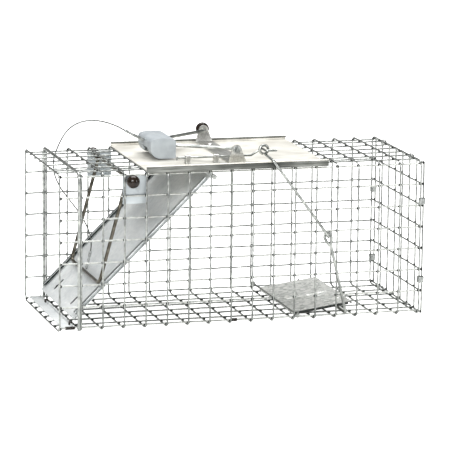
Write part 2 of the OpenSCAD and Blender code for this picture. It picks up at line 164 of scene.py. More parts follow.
# Plain sRGB display, so that the white paper stays white and bare zinc keeps its contrast
bpy.context.scene.view_settings.view_transform = "Standard"
sky.use_nodes = True
sky_tree = sky.node_tree
sky_shader = sky_tree.nodes["Background"]
sky_shader.inputs["Color"].default_value = colour("#FFFFFF")
sky_tree.links.new(seen_or_lit(sky_tree, sky_seen, sky_lit), sky_shader.inputs["Strength"])


def lamp(name, place, size, power):
    """A soft rectangular lamp that faces the trap: place and size in metres, power in watts."""
    data = bpy.data.lights.new(name, "AREA")
    data.shape = "RECTANGLE"
    data.size, data.size_y = size
    data.energy = power
    made = bpy.data.objects.new(name, data)
    made.location = place
    middle_of_trap = Vector((0, 0, 0.1))
    made.rotation_euler = (middle_of_trap - Vector(place)).to_track_quat("-Z", "Y").to_euler()
    bpy.context.scene.collection.objects.link(made)


lamp("key", (-0.9, -1.5, 1.1), (0.9, 0.7), 36)
lamp("fill", (1.3, -1.2, 0.7), (0.5, 0.7), 8)
lamp("top", (0.1, 0.5, 1.8), (1.5, 0.9), 38)
print("studio:", floor_sheet.name, "and", len(bpy.data.lights), "lamps")

# %% [markdown]
# ## Finishes
# Nearly all of the trap is steel with a zinc coat, in four states: hot-dip galvanised mesh with dark
# weld points, smooth plated wire, rolled galvanised sheet with long streaks, and a treadle whose coat has
# crystallised in large spangles. Two plastics and a dark plated rod stand out against them. Every pattern's
# scale below is a real size in millimetres, on Object coordinates, because each mesh is in metres.

# %% Helpers for patterns
def per(size_mm):
    """Noise or Voronoi scale whose features are about size_mm across."""
    return 1.0 / (size_mm * MM)


def textured(tree, stretch=(1, 1, 1)):
    """Object coordinates, with a stretch for streaks that run along one axis."""
    place = add(tree, "ShaderNodeTexCoord").outputs["Object"]
    return add(tree, "ShaderNodeMapping", {"Scale": stretch}, Vector=place).outputs["Vector"]


def ramp(tree, source, stops):
    """A colour ramp: stops are (position, hex code)."""
    node = add(tree, "ShaderNodeValToRGB", Fac=source)
    while len(node.color_ramp.elements) < len(stops):
        node.color_ramp.elements.new(0.5)
    for element, (position, code) in zip(node.color_ramp.elements, stops):
        element.position = position
        element.color = colour(code)
    return node.outputs["Color"]


def spread(tree, source, low, high):
    """Maps a 0 to 1 pattern to a range, for roughness."""
    return add(tree, "ShaderNodeMapRange", {"To Min": low, "To Max": high}, Value=source).outputs["Result"]


def relief(tree, shader, source, depth_mm, strength=1.0):
    """Bumps the surface by a 0 to 1 pattern, depth_mm deep."""
    bump = add(tree, "ShaderNodeBump", {"Distance": depth_mm * MM, "Strength": strength}, Height=source)
    tree.links.new(bump.outputs["Normal"], shader.inputs["Normal"])


def noise(tree, size_mm, detail, place):
    """A soft cloudy pattern, 0 to 1, whose features are about size_mm across."""
    settings = {"Scale": per(size_mm), "Detail": detail}
    return add(tree, "ShaderNodeTexNoise", settings, Vector=place).outputs["Fac"]


print("a 5 mm pattern has scale", round(per(5)))

# %% [markdown]
# ### Zinc on wire and small parts
# Hot-dip zinc on thin wire freezes in soft ripples and is duller near the welds. Plated wire is drawn
# through a die, so it is smoother and more even. The same recipe, with its own three tones, roughness, grain
# and ripple, gives the other small metal parts: dull clips and darker front clips, smooth side plates, a
# painted shade for the inside of a fold, the dark rod, crimped aluminium and steel strand. Three tones of a
# soft mottle read as metal from any side, where one flat colour would read as paint.

# %% Zinc on wire
def zinc_wire(name, codes, rough, grain_mm, ripple_mm):
    """Mottled metal: dark, middle and light codes, a roughness range, grain size and ripple depth."""
    ripple_size = 0.8
    made, tree, shader = new_material(name)
    place = textured(tree)
    mottle = noise(tree, grain_mm, 3.0, place)
    fine = noise(tree, ripple_size, 2.0, place)
    tree.links.new(ramp(tree, mottle, [(0.3, codes[0]), (0.55, codes[1]), (0.75, codes[2])]),
                   shader.inputs["Base Color"])
    tree.links.new(spread(tree, mottle, rough[0], rough[1]), shader.inputs["Roughness"])
    shader.inputs["Metallic"].default_value = 1.0
    relief(tree, shader, fine, ripple_mm)
    return made


mesh_zinc = zinc_wire("hot-dip galvanised wire", ("#747776", "#A3A6A3", "#CFD2CE"), (0.26, 0.42),
                      5.0, 0.05)
# Painted light: a lighter copy of the wire zinc, for the near side's long wires
near_wires_painted_light = zinc_wire("painted light on the near side's wires", ("#A4A7A4", "#C9CBC7", "#E2E4E0"), (0.42, 0.6),
                      5.0, 0.05)
# Welding burns the coat, which leaves a dark, rough spot
weld_zinc = zinc_wire("zinc over spot welds", ("#1B1D1D", "#343635", "#5D605F"), (0.45, 0.65), 1.2, 0.15)
plated_wire = zinc_wire("bright zinc plated wire", ("#7F8280", "#A3A6A3", "#CDCFCB"), (0.26, 0.36),
                        9.0, 0.004)
frame_zinc = zinc_wire("galvanised frame wire", ("#868987", "#B0B3B0", "#D2D4D0"), (0.3, 0.42), 6.0, 0.02)
clip_zinc = zinc_wire("dull zinc strip", ("#858887", "#AEB1AF", "#CDD0CE"), (0.34, 0.5), 3.0, 0.03)
dark_clip = zinc_wire("darker zinc on the front clips", ("#2B2927", "#454240", "#625F5B"), (0.35, 0.5), 2.0, 0.05)
# Smooth sheet, so its mottle is wide and it hardly ripples
side_sheet = zinc_wire("smooth galvanised side plate", ("#A3A9AD", "#BAC0C3", "#CDD2D4"), (0.42, 0.55),
                       22.0, 0.01)
# Painted shade: the inside of a narrow fold gets little light, so this zinc is drawn dark as its shade
painted_shade_zinc = zinc_wire("painted shade inside the louvres and folds", ("#2E302F", "#454847", "#5F6261"), (0.5, 0.65),
                        3.0, 0.05)
bail_plating = zinc_wire("dark plated rod", ("#4A4740", "#6A665C", "#8B867A"), (0.26, 0.42), 7.0, 0.03)
sleeve_metal = zinc_wire("crimped aluminium", ("#8B8E8D", "#A9ACAB", "#C3C6C5"), (0.3, 0.45), 2.5, 0.05)
cable_steel = zinc_wire("galvanised steel strand", ("#4C4F4D", "#6E716F", "#8D908E"), (0.35, 0.5), 2.0, 0.03)
print("wire finishes:", [m.name for m in bpy.data.materials if m.node_tree and "wire" in m.name])

# %% [markdown]
# ### Galvanised sheet
# Sheet comes off a coil, so faint streaks run one way, the way it was rolled. The door's sheet is lighter,
# duller and more even. The guard plate is warmer and shows the streaks most. Both have weathered to a chalky
# film, so they are only partly metallic to the eye. A darker copy of the zinc gives the guard plate's far hem
# and the band along its near edge a painted shade. Handling leaves dull smudges, which are a second, larger
# pattern in the roughness.

# %% Zinc on sheet
def zinc_sheet(name, codes, rough, streak_mm, along, metal=1.0):
    """Streaked sheet: three tones, a roughness range, streak width and the axis that the streaks follow."""
    # Scaled down along the streaks, the pattern is drawn out to about 17 times its width
    drawn_out = 0.06
    smudge_mm = 38
    made, tree, shader = new_material(name)
    stretch = [1.0, 1.0, 1.0]
    stretch[along] = drawn_out
    streak = noise(tree, streak_mm, 4.0, textured(tree, stretch))
    smudge = noise(tree, smudge_mm, 2.0, textured(tree))
    both = add(tree, "ShaderNodeMath", {"operation": "ADD"})
    half = add(tree, "ShaderNodeMath", {"operation": "MULTIPLY"}, Value=both.outputs["Value"])
    half.inputs[1].default_value = 0.5
    tree.links.new(streak, both.inputs[0])
    tree.links.new(smudge, both.inputs[1])
    tree.links.new(ramp(tree, half.outputs["Value"], [(0.34, codes[0]), (0.5, codes[1]), (0.64, codes[2])]),
                   shader.inputs["Base Color"])
    tree.links.new(spread(tree, smudge, rough[0], rough[1]), shader.inputs["Roughness"])
    shader.inputs["Metallic"].default_value = metal
    relief(tree, shader, streak, 0.05, 0.6)
    return made


door_sheet = zinc_sheet("light galvanised door sheet", ("#C6CACB", "#D4D7D7", "#E0E2E1"), (0.56, 0.7),
                        3.0, 0, 0.4)
channel_sheet = zinc_sheet("folded galvanised edge", ("#8F9494", "#ABAFAF", "#C2C5C5"), (0.36, 0.5), 3.0, 0)
plate_sheet = zinc_sheet("rolled galvanised guard plate", ("#C0BDB4", "#D6D4CC", "#EAE9E3"), (0.46, 0.62),
                         2.2, 0, 0.45)
# Painted shade: a darker zinc for the guard plate's far hem and the outer face of its near band
hem_painted_shade = zinc_sheet("dulled zinc on rolled hems", ("#4D4F4C", "#71736F", "#989A96"), (0.34, 0.5), 2.5, 0)
strap_sheet = zinc_sheet("plated steel strap", ("#A9A9A4", "#C6C6C1", "#DFDFDB"), (0.25, 0.42), 2.0, 1)
print("sheet finishes:", [m.name for m in bpy.data.materials if "sheet" in m.name or "plate" in m.name])

# %% [markdown]
# ### Spangled treadle
# Slow-cooled zinc crystallises in flat patches a few millimetres across, each tilted its own way. A Voronoi
# pattern gives every patch its own brightness and its own gloss, and a little noise bends its straight edges.

# %% Spangle
patch_mm, bend_mm, edge_bend = 4.5, 3, 0.0022
spangle, spangle_tree, spangle_shader = new_material("spangled galvanised sheet")
spangle_place = textured(spangle_tree)
warp = add(spangle_tree, "ShaderNodeTexNoise", {"Scale": per(bend_mm), "Detail": 2.0}, Vector=spangle_place)
bent_place = add(spangle_tree, "ShaderNodeMix", {"data_type": "VECTOR"})
bent_place.inputs[0].default_value = edge_bend
spangle_tree.links.new(spangle_place, bent_place.inputs[4])
spangle_tree.links.new(warp.outputs["Color"], bent_place.inputs[5])
patches = add(spangle_tree, "ShaderNodeTexVoronoi", {"Scale": per(patch_mm)}, Vector=bent_place.outputs[1])
patch_tone = add(spangle_tree, "ShaderNodeSeparateColor", Color=patches.outputs["Color"]).outputs["Red"]
patch_colour = ramp(spangle_tree, patch_tone, [(0.0, "#A9ABA7"), (0.45, "#D2D4D0"), (1.0, "#F3F3EF")])
spangle_tree.links.new(patch_colour, spangle_shader.inputs["Base Color"])
spangle_tree.links.new(spread(spangle_tree, patch_tone, 0.55, 0.3), spangle_shader.inputs["Roughness"])
spangle_shader.inputs["Metallic"].default_value = 0.5
relief(spangle_tree, spangle_shader, patch_tone, 0.12)
print("spangle patches are", patch_mm, "mm across")

# %% [markdown]
# ### Plastics
# The grip is moulded with a fine spark-eroded texture, so it looks soft and satin. The caps are glossy brown
# plastic that catches one sharp highlight.

# %% Grip and cap plastics
grip_plastic, grip_tree, grip_shader = new_material("moulded grey polypropylene")
grip_place = textured(grip_tree)
cloud = noise(grip_tree, 9, 2.0, grip_place)
# The real texture is about 0.1 mm; it is drawn at 0.7 mm so that it shows at all
spark = noise(grip_tree, 0.7, 2.0, grip_place)
grip_colour = ramp(grip_tree, cloud, [(0.3, "#969CA0"), (0.7, "#A6ACAF")])
grip_tree.links.new(grip_colour, grip_shader.inputs["Base Color"])
grip_tree.links.new(spread(grip_tree, cloud, 0.42, 0.52), grip_shader.inputs["Roughness"])
grip_shader.inputs["IOR"].default_value = 1.49
relief(grip_tree, grip_shader, spark, 0.06, 0.5)

cap_plastic, cap_tree, cap_shader = new_material("glossy brown cap plastic")
cap_cloud = noise(cap_tree, 6, 2.0, textured(cap_tree))
cap_colour = ramp(cap_tree, cap_cloud, [(0.3, "#15100C"), (0.7, "#2A1F19")])
cap_tree.links.new(cap_colour, cap_shader.inputs["Base Color"])
cap_tree.links.new(spread(cap_tree, cap_cloud, 0.12, 0.24), cap_shader.inputs["Roughness"])
cap_shader.inputs["IOR"].default_value = 1.49
cap_shader.inputs["Specular IOR Level"].default_value = 0.3
print("plastics:", grip_plastic.name, "and", cap_plastic.name)

# %% [markdown]
# ## Ways of making pieces
# Most of the trap is bent wire. A wire is easiest to make as a person would bend it: corner points joined by
# straight runs, each corner rounded by the bending pin, and one round section along it all. In Blender that
# is a curve with a bevel depth, turned into a mesh.

# %% Helpers for bent wire
def rounded(points, bend, steps):
    """Rounds every inner corner of a line of points with an arc of radius bend."""
    nearly_straight = math.radians(89)
    points = [Vector(p) for p in points]
    out = [points[0]]
    for a, b, c in zip(points, points[1:], points[2:]):
        u, v = (a - b).normalized(), (c - b).normalized()
        half = u.angle(v) / 2
        if half > nearly_straight:
            out.append(b)
            continue
        cut = bend / math.tan(half)
        centre = b + (u + v).normalized() * bend / math.sin(half)
        start, end = b + u * cut - centre, b + v * cut - centre
        out += [centre + start.slerp(end, i / steps) * bend for i in range(steps + 1)]
    return out + [points[-1]]


def ring(centre, radius, start, end, steps):
    """Points round a circle in the XZ plane, angles in degrees."""
    angles = [math.radians(start + (end - start) * i / steps) for i in range(steps + 1)]
    return [Vector(centre) + radius * Vector((math.cos(a), 0, math.sin(a))) for a in angles]


def finish_piece(piece, name, material, body, replaced=()):
    """Names a finished mesh, gives it its material, and hangs it on its body."""
    deselect()
    piece.name = name
    piece.data.name = name
    piece.data.materials.clear()
    piece.data.materials.append(material)
    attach(piece, body)
    if replaced:
        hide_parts(*replaced)
    print(f"{name}: {len(piece.data.polygons)} faces")
    return piece


def outward(piece):
    """Merges doubles and turns every face outwards."""
    deselect()
    bpy.context.view_layer.objects.active = piece
    piece.select_set(True)
    bpy.ops.object.mode_set(mode="EDIT")
    bpy.ops.mesh.select_all(action="SELECT")
    bpy.ops.mesh.remove_doubles(threshold=0.005 * MM)
    bpy.ops.mesh.normals_make_consistent(inside=False)
    bpy.ops.object.mode_set(mode="OBJECT")


def smooth(piece, degrees=35):
    """Shades a piece smooth, apart from edges sharper than the given angle."""
    deselect()
    bpy.context.view_layer.objects.active = piece
    piece.select_set(True)
    bpy.ops.object.shade_smooth_by_angle(angle=math.radians(degrees))


def wire_mesh(routes, radius, sides=12, closed=False):
    """A mesh tube along each route; a route point may carry its own thickness as a pair (point, factor)."""
    deselect()
    bpy.ops.curve.primitive_bezier_curve_add(location=(0, 0, 0))
    piece = bpy.context.object
    curve = piece.data
    curve.splines.clear()
    for points in routes:
        spline = curve.splines.new("POLY")
        spline.points.add(len(points) - 1)
        for target, source in zip(spline.points, points):
            place, factor = source if len(source) == 2 else (source, 1.0)
            target.co = (*place, 1.0)
            target.radius = factor
        spline.use_cyclic_u = closed
    curve.dimensions = "3D"
    curve.twist_mode = "MINIMUM"
    curve.bevel_depth = radius
    curve.bevel_resolution = (sides - 4) // 2
    curve.use_fill_caps = not closed
    bpy.ops.object.convert(target="MESH")
    piece = bpy.context.object
    outward(piece)
    smooth(piece)
    return piece


def joined(parts):
    """Joins finished meshes into the first of them."""
    deselect()
    for part in parts:
        part.select_set(True)
    bpy.context.view_layer.objects.active = parts[0]
    bpy.ops.object.join()
    return bpy.context.object


print("a right-angled bend has", len(rounded([(0, 0, 0), (1, 0, 0), (1, 1, 0)], 0.1, 5)), "points")

# %% [markdown]
# ## The cage
# A roll of weld mesh is cut, folded round a former and closed with clips. The ring wires run round the
# outside and are bent at the four long edges; the long wires lie inside them. Every place in the cage follows
# from the mesh's cell, the wire's radius and the outer faces of the design's panels, so they come first.

# %% Measure the cage
cell = 25.4 * MM
cells_along, cells_across = 17, 7
wire_r = 1.0 * MM
side_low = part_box("near_side_panel")[0]
front_x = side_low.x + wire_r
ring_y = -side_low.y - wire_r
low_ring_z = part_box("floor_panel")[0].z + wire_r
top_ring_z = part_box("top_panel")[1].z - wire_r
# Two layers of wire lie one wire and a hair apart, because real ones are pressed together and these aren't
layer = 2.02 * MM
half_w = ring_y - layer
low_long_z = low_ring_z + layer
top_long_z = top_ring_z - layer
corner_r = 7 * MM
corner_in = corner_r - (corner_r - layer) / math.sqrt(2)
cage_end = front_x + cells_along * cell
print("cage length", round((cage_end - front_x) / MM, 1), "mm, ring plane at", round(ring_y / MM, 2), "mm")


def back(distance):
    """X of a place measured back from the entrance ring, in millimetres."""
    return front_x + distance * MM


# %% [markdown]
# ### Ring wires
# Each ring is one wire, bent round the cage, whose ends meet under it. Four corner points and a bending
# radius give it, and a small random lean keeps the rings from looking machined.

# %% Ring wires, bent round the cage
random.seed(7)
most_lean = 0.12
ring_routes = []
for i in range(cells_along + 1):
    x = front_x + i * cell
    lean = random.uniform(-most_lean, most_lean) * MM
    corners = [(x, 0, low_ring_z), (x, ring_y, low_ring_z), (x + lean, ring_y, top_ring_z),
               (x + lean, -ring_y, top_ring_z), (x, -ring_y, low_ring_z), (x, 0, low_ring_z)]
    ring_routes.append(rounded(corners, corner_r, 6)[:-1])
cage_rings = wire_mesh(ring_routes, wire_r, 12, closed=True)
finish_piece(cage_rings, "cage_ring_wires", mesh_zinc, "root",
             ("floor_panel", "top_panel", "near_side_panel", "far_side_panel", "corner_bends"))

# %% [markdown]
# ### Long wires and the closed end
# The long wires run the length of the cage inside the rings, and the closed end has a flat panel of its own.
# Real wires are never dead straight, so each wanders by about a tenth of a millimetre. The near side's wires
# get a lighter copy of the zinc, given to faces by their place: a painted light that makes them brighter than
# the far ones.

# %% Long wires and the closed end
def wandering(start, end, sway, axes):
    """A nearly straight wire: its inner points sway a little on the given axes."""
    start, end = Vector(start), Vector(end)
    count = max(2, round((end - start).length / (cell / 2)))
    points = []
    for i in range(count + 1):
        point = start.lerp(end, i / count)
        if 0 < i < count:
            for axis in axes:
                point[axis] += random.uniform(-sway, sway)
        points.append(point)
    return points


long_places = [(k * cell - half_w, z) for k in range(1, cells_across) for z in (low_long_z, top_long_z)]
long_places += [(side * half_w, low_long_z + k * cell) for side in (-1, 1) for k in range(1, cells_across)]
long_places += [(side * (ring_y - corner_in), z) for side in (-1, 1)
                for z in (low_ring_z + corner_in, top_ring_z - corner_in)]
long_routes = [wandering((front_x - wire_r, y, z), (cage_end + wire_r, y, z), 0.14 * MM, (1, 2))
               for y, z in long_places]
long_wires = finish_piece(wire_mesh(long_routes, wire_r), "cage_long_wires", mesh_zinc, "root")
long_wires.data.materials.append(near_wires_painted_light)
# Painted light: the near side's long wires take the lighter zinc
for face in long_wires.data.polygons:
    face.material_index = int(face.center.y < wire_r - half_w)

rear_x = cage_end + layer
rear_levels = [low_long_z + k * cell for k in range(cells_across + 1)]
rear_columns = [-half_w + j * cell for j in range(cells_across + 1)]
rear_routes = [wandering((rear_x, -half_w - wire_r, z), (rear_x, half_w + wire_r, z), 0.1 * MM, (2,))
               for z in rear_levels]
rear_routes += [wandering((rear_x + layer, y, low_long_z - wire_r), (rear_x + layer, y, top_long_z + wire_r),
                          0.1 * MM, (1,)) for y in rear_columns]
finish_piece(wire_mesh(rear_routes, wire_r), "rear_mesh_wires", mesh_zinc, "root",
             ("rear_panel",))

# %% [markdown]
# ### Welds
# Where two wires cross, the welder squeezes them together, which leaves a small dull bead round the joint.
# There are hundreds, so each is a coarse icosphere, squeezed along the line between its two wires and turned
# a little, and all of them are one mesh. They are drawn slightly large, so that they show.

# %% Weld beads at every crossing
def bead_at(mesh, place, squeeze, turn):
    """Adds one weld bead to a mesh: squeeze is the axis between the two wires."""
    wide, flat = 2.15 * MM, 1.35 * MM
    scale = [wide, wide, wide]
    scale[squeeze] = flat
    turned_bead = Matrix.Diagonal((*scale, 1)) @ Matrix.Rotation(turn, 4, "XYZ"[squeeze])
    matrix = Matrix.Translation(place) @ turned_bead
    bmesh.ops.create_icosphere(mesh, subdivisions=1, radius=1.0, matrix=matrix)


# The beads of the first ring sit a little back, so that none stands proud of the entrance
set_back = 1.15 * MM
# On a corner wire the bead lies outwards on the diagonal, by this much each way
corner_step = 0.7 * MM
crossings = []
for i in range(cells_along + 1):
    x = front_x + (i * cell if i else set_back)
    for y, z in long_places:
        # Only the floor's wires lie lower than one cell
        outward_z = z - cell
        if abs(abs(y) - half_w) < wire_r:
            crossings.append((Vector((x, math.copysign(half_w + layer / 2, y), z)), 1))
        elif abs(y) < half_w - wire_r and abs(abs(y) - (ring_y - corner_in)) > wire_r:
            crossings.append((Vector((x, y, z + math.copysign(layer / 2, outward_z))), 2))
        else:
            corner_y = y + math.copysign(corner_step, y)
            crossings.append((Vector((x, corner_y, z + math.copysign(corner_step, outward_z))), 1))
crossings += [(Vector((rear_x + layer / 2, y, z)), 0) for y in rear_columns for z in rear_levels]
beads = bmesh.new()
for place, squeeze in crossings:
    bead_at(beads, place, squeeze, random.uniform(0, math.pi))
deselect()
bpy.ops.mesh.primitive_ico_sphere_add(radius=MM)
weld_beads = bpy.context.object
beads.to_mesh(weld_beads.data)
beads.free()
smooth(weld_beads, 60)
finish_piece(weld_beads, "weld_beads", weld_zinc, "root")

# %% [markdown]
# ### The entrance frame
# A thicker wire bent to an arch stiffens the mouth of the cage. Its two legs end just above the ground.

# %% Entrance frame
foot_z = 2 * MM
frame_low, frame_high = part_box("entrance_frame")
frame_r = (frame_high.x - frame_low.x) / 2
frame_x = (frame_high.x + frame_low.x) / 2
frame_y = frame_high.y - frame_r
frame_z = frame_high.z - frame_r
arch = rounded([(frame_x, -frame_y, foot_z), (frame_x, -frame_y, frame_z), (frame_x, frame_y, frame_z),
                (frame_x, frame_y, foot_z)], corner_r, 8)
finish_piece(wire_mesh([arch], frame_r, 16), "entrance_frame_wire", frame_zinc, "root",
             ("entrance_frame",))

# %% [markdown]
# ### Clips, plates, pins and the handle's strap
# These small parts have the right shape in the design already, but every edge there is razor sharp, and a
# real edge catches the light. So each is a copy of the design's mesh, merged, with its flat faces dissolved
# and its edges rounded by a bevel. The clips are strips of steel that pliers wrap round two wires; those
# in the front half of the cage are given a darker zinc.

# %% Small parts with rounded edges
def refine(node, bevel_mm, segments=2, angle=30):
    """A copy of a CAD node's mesh: merged, flat faces dissolved, and its edges rounded by a bevel."""
    deselect()
    bpy.ops.mesh.primitive_plane_add(size=MM)
    piece = bpy.context.object
    piece.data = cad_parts[node].data.copy()
    bpy.ops.object.mode_set(mode="EDIT")
    bpy.ops.mesh.select_all(action="SELECT")
    bpy.ops.mesh.remove_doubles(threshold=0.003 * MM)
    bpy.ops.mesh.dissolve_limited(angle_limit=math.radians(1.0))
    bpy.ops.object.mode_set(mode="OBJECT")
    rounding = piece.modifiers.new("edges", "BEVEL")
    rounding.width = bevel_mm * MM
    rounding.segments = segments
    rounding.limit_method = "ANGLE"
    rounding.angle_limit = math.radians(angle)
    rounding.use_clamp_overlap = True
    bpy.ops.object.modifier_apply(modifier=rounding.name)
    smooth(piece)
    return piece


# The design's node, the finished piece's name, its edge rounding in millimetres, its finish, body and slot
SMALL_PARTS = (
    ("joining_clips", "wire_clips", 0.2, clip_zinc, "root", "clip_steel"),
    ("door_sill", "sill_strip", 0.25, door_sheet, "root", "door_sheet"),
    ("near_pivot_plate", "near_side_plate", 0.25, side_sheet, "root", "door_sheet"),
    ("far_pivot_plate", "far_side_plate", 0.25, side_sheet, "root", "door_sheet"),
    ("door_hinge_rod", "door_hinge_pin", 0.3, frame_zinc, "root", "formed_wire"),
    ("treadle_hinge_rod", "treadle_hinge_pin", 0.3, plated_wire, "root", "formed_wire"),
    ("handle_push_nut", "push_nut", 0.2, clip_zinc, "handle", "clip_steel"),
    ("trip_rod_guides", "rod_saddles", 0.25, strap_sheet, "root", "bracket_sheet"),
    ("bracket_rivets", "rivets", 0.2, strap_sheet, "root", "bracket_sheet"),
    ("handle_bracket", "handle_strap", 0.35, strap_sheet, "root", "bracket_sheet"),
)
for node, name, edge_mm, finish, body, slot in SMALL_PARTS:
    finish_piece(refine(node, edge_mm), name, finish, body, (node,))

# The clips in the front half of the cage take the darker zinc
clips = bpy.data.objects["wire_clips"]
clips.data.materials.append(dark_clip)
for face in clips.data.polygons:
    face.material_index = int(face.center.x < 0)

# %% [markdown]
# ## The door
# The door is one sheet. Near its lower edge a press has stiffened it with a shallow pan, which has a raised
# middle and diagonal creases, and two slots are punched through. It starts as a fine grid, so that the
# pressed shape can be pushed in gently, and gets its thickness afterwards. The slots are cut last, by tools
# with rounded corners.

# %% Door sheet
DOOR_SLOPE = math.radians(44.5)
hinge = Vector((back(181), 0, 174.5 * MM))
door_len = 229 * MM
door_t = 0.9 * MM
door_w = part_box("door_panel")[1].y * 2
along_door = Vector((-math.cos(DOOR_SLOPE), 0, -math.sin(DOOR_SLOPE)))
off_door = Vector((-math.sin(DOOR_SLOPE), 0, math.cos(DOOR_SLOPE)))
# Door space: x runs down the door from the hinge, y along the hinge, z off its outer face
door_space = Matrix((
    (along_door.x, 0, off_door.x, hinge.x),
    (0, 1, 0, 0),
    (along_door.z, 0, off_door.z, hinge.z),
    (0, 0, 0, 1),
))


def ease(value, low, high):
    """0 below low, 1 above high, and a smooth step between."""
    t = min(1.0, max(0.0, (value - low) / (high - low)))
    return t * t * (3 - 2 * t)


def within(value, low, high, soft):
    """1 between low and high, falling softly to 0 over soft on either side."""
    return ease(value, low, low + soft) * (1 - ease(value, high - soft, high))


def pressed(x, y):
    """Height of the pressed sheet, in millimetres, at a place on it in millimetres."""
    pan_depth, raised_height, crease_height, rim_depth = 1.5, 0.7, 0.8, 0.5
    pan_start, pan_end, crease_slope = 176, 224, 1.45
    pan = within(x, pan_start, pan_end, 6) * (1 - ease(abs(y), 66, 74))
    raised = within(x, 190, 216, 4) * (1 - ease(abs(y), 14, 20)) * raised_height
    down_crease = abs(abs(y) - (x - pan_start) * crease_slope)
    up_crease = abs(abs(y) - (pan_end - 2 - x) * crease_slope)
    crease = 1 - ease(min(down_crease, up_crease), 0.6, 3.4)
    crease *= (1 - ease(abs(y), 60, 66)) * ease(x, 178, 184)
    rim = (1 - ease(abs(abs(y) - 78), 0.5, 3.0)) * ease(x, 24, 30)
    return raised + crease_height * crease * pan - pan_depth * pan - rim_depth * rim


deselect()
bpy.ops.mesh.primitive_grid_add(x_subdivisions=150, y_subdivisions=110, size=1)
door = bpy.context.object
for v in door.data.vertices:
    x = (v.co.x + 0.5) * door_len
    y = v.co.y * door_w
    v.co = (x, y, 0.5 * MM + pressed(x / MM, y / MM) * MM)
thickness = door.modifiers.new("sheet", "SOLIDIFY")
thickness.thickness = door_t
thickness.offset = -1
bpy.ops.object.modifier_apply(modifier=thickness.name)


def cutter(size, place, radius):
    """A box with rounded upright edges, to cut a punched slot."""
    upright = 1e-7
    deselect()
    bpy.ops.mesh.primitive_cube_add(size=1, location=(0, 0, 0))
    tool = bpy.context.object
    tool.scale = size
    tool.location = place
    bpy.ops.object.transform_apply(location=True, rotation=False, scale=True)
    bpy.ops.object.mode_set(mode="EDIT")
    bpy.ops.mesh.select_all(action="DESELECT")
    bpy.ops.object.mode_set(mode="OBJECT")
    for edge in tool.data.edges:
        a, b = (tool.data.vertices[i].co for i in edge.vertices)
        edge.select = abs(a.x - b.x) < upright and abs(a.y - b.y) < upright
    bpy.ops.object.mode_set(mode="EDIT")
    bpy.ops.mesh.bevel(offset=radius, segments=6, affect="EDGES")
    bpy.ops.object.mode_set(mode="OBJECT")
    return tool


def cut(piece, tools):
    """Cuts every tool out of a piece, and removes the tools."""
    for tool in tools:
        deselect()
        bpy.context.view_layer.objects.active = piece
        piece.select_set(True)
        hole = piece.modifiers.new("hole", "BOOLEAN")
        hole.operation = "DIFFERENCE"
        hole.solver = "EXACT"
        hole.object = tool
        bpy.ops.object.modifier_apply(modifier=hole.name)
        bpy.data.objects.remove(tool)


slot_size = (17 * MM, 6.2 * MM, 12 * MM)
slot_x = 210.5 * MM
slot_rows = (52 * MM, -33 * MM)
pin_slot_size = (5 * MM, 2 * MM, 12 * MM)
pin_slots = ((85 * MM, -61 * MM), (48 * MM, -10 * MM))
cut(door, [cutter(slot_size, (slot_x, y, 0), 2.4 * MM) for y in slot_rows]
    + [cutter(pin_slot_size, (x, y, 0), 0.9 * MM) for x, y in pin_slots])
print("door sheet with", len(slot_rows) + len(pin_slots), "slots:", len(door.data.polygons), "faces")

# %% [markdown]
# ### The door's edges and louvres
# The upper edge is rolled round the hinge rod, and the lower edge is turned under to a lip. Both are
# profiles swept along the hinge line: an open roll of a little over 300 degrees, and a small hook. Behind
# each large slot the sheet is drawn down to a trough, as on a louvre, so that no light comes through it. The
# trough's profile is swept along the slot.

# %% Rolled and turned edges
def strip(profile, y0, y1, thick, steps=3):
    """A bent sheet strip: a line of (x, z) points extruded along Y and given a thickness."""
    deselect()
    bpy.ops.mesh.primitive_plane_add(size=1)
    piece = bpy.context.object
    shape = bmesh.new()
    row = [shape.verts.new((x, y0, z)) for x, z in profile]
    edges = [shape.edges.new(pair) for pair in zip(row, row[1:])]
    for _ in range(steps):
        moved = bmesh.ops.extrude_edge_only(shape, edges=edges)["geom"]
        edges = [g for g in moved if isinstance(g, bmesh.types.BMEdge)]
        verts = [g for g in moved if isinstance(g, bmesh.types.BMVert)]
        bmesh.ops.translate(shape, verts=verts, vec=(0, (y1 - y0) / steps, 0))
        edges = [e for e in edges if all(v in verts for v in e.verts)]
    shape.to_mesh(piece.data)
    shape.free()
    wall = piece.modifiers.new("sheet", "SOLIDIFY")
    wall.thickness = thick
    wall.offset = 0
    bpy.ops.object.modifier_apply(modifier=wall.name)
    outward(piece)
    smooth(piece)
    return piece


# Turns a strip swept along Y into one swept along X
swap_xy = Matrix(((0, 1, 0, 0), (1, 0, 0, 0), (0, 0, 1, 0), (0, 0, 0, 1)))


def arc(cx, cz, radius, start, end, steps):
    """Points round an arc of a profile, angles in degrees."""
    angles = [math.radians(start + (end - start) * i / steps) for i in range(steps + 1)]
    return [(cx + radius * math.cos(a), cz + radius * math.sin(a)) for a in angles]


half_door = door_w / 2
# A trough's profile: distance across from the slot's middle and height, in millimetres
trough_profile = ((-4.2, -1.7), (-2, -3.4), (4, -3.6), (10.5, -1.7))
trough_start, trough_end = 201 * MM, 220 * MM
troughs = []
for y in slot_rows:
    bowed = [(y + shift * MM, z * MM) for shift, z in trough_profile]
    trough = strip(bowed, trough_start, trough_end, 0.6 * MM)
    trough.data.transform(door_space @ swap_xy)
    outward(trough)
    troughs.append(trough)
